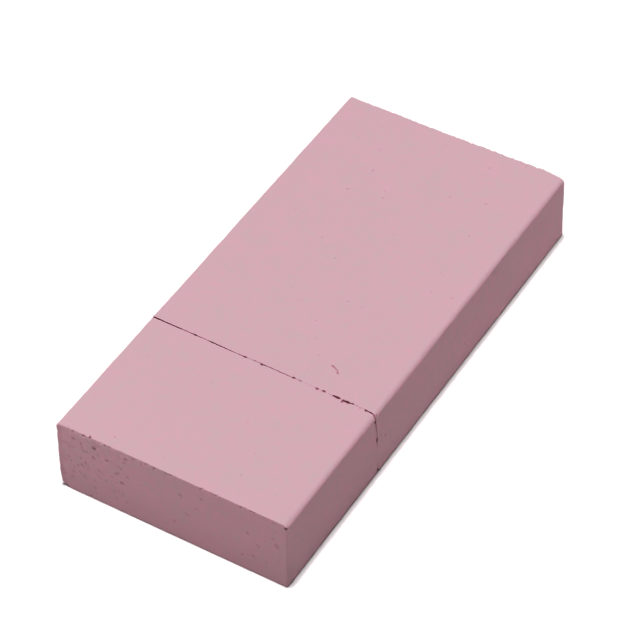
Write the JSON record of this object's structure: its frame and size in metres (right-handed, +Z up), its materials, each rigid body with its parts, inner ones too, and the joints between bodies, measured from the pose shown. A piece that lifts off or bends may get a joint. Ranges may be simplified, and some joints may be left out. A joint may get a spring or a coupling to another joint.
{
  "type": "clay bar",
  "caption": "Flat rectangular block of soft detailing clay, cut across with a knife into a long piece and a short piece that pull apart.",
  "frame": {"origin": "centre of the base's bounding box, on the surface that the bar lies on", "axes": "+X across the bar to its right side, +Y along the bar from the short piece's end to the long piece's end, +Z up through its thickness"},
  "size_m": [0.054, 0.117, 0.0177],
  "materials": {
    "clay": "matt, faintly waxy, pale dusty pink with grey mottling"
  },
  "bodies": {
    "long_piece": {"long_piece": "clay"},
    "short_piece": {"short_piece": "clay"}
  },
  "joints": [
    {"name": "short_piece_pull", "type": "slide", "parent": "long_piece", "child": "short_piece", "axis": [0, -1, 0], "range_m": [0, 0.05]}
  ]
}
